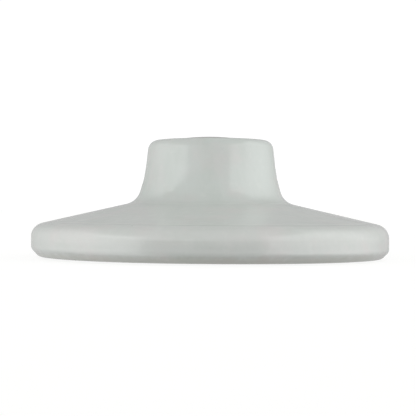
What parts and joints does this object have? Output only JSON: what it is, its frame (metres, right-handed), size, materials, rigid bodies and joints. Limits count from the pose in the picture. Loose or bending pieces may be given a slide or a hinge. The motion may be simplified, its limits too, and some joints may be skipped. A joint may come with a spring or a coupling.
{
  "type": "fence insulator",
  "caption": "Glazed porcelain stand-off insulator: a wide disc seats on the post and a tapered boss clamps the fence wire under a domed terminal screw.",
  "frame": {"origin": "centre of the face that meets the post, which is the underside of the gasket", "axes": "+Z along the boss, away from the post; +X along the groove that the fence wire lies in"},
  "size_m": [0.1, 0.1, 0.0341],
  "materials": {
    "glazed_porcelain": "glossy glaze over white porcelain",
    "brass": "turned and dulled",
    "cement": "rough set cement",
    "cork": "pressed granules",
    "gasket_rubber": "matt",
    "stainless_steel": "turned",
    "nickelled_steel": "satin nickel"
  },
  "bodies": {
    "insulator": {"porcelain_body": "glazed_porcelain", "base_bush": "brass", "base_cement": "cement", "base_cork_disc": "cork", "base_gasket": "gasket_rubber", "head_bush": "brass", "head_cement": "cement", "head_cork_disc": "cork"},
    "captive_washers": {"wire_washer": "stainless_steel", "lock_washer": "stainless_steel"},
    "terminal_screw": {"terminal_screw": "nickelled_steel"}
  },
  "joints": [
    {"name": "screw_lift", "type": "slide", "parent": "insulator", "child": "captive_washers", "axis": [0, 0, 1], "range_m": [0, 0.0063]},
    {"name": "screw_turn", "type": "hinge", "parent": "captive_washers", "child": "terminal_screw", "pos_m": [0, 0, 0.03], "axis": [0, 0, 1], "range_deg": [0, 1800]}
  ],
  "couplings": [
    {"joint": "screw_lift", "follows": "screw_turn", "m_per_rad": 0.00019894}
  ]
}
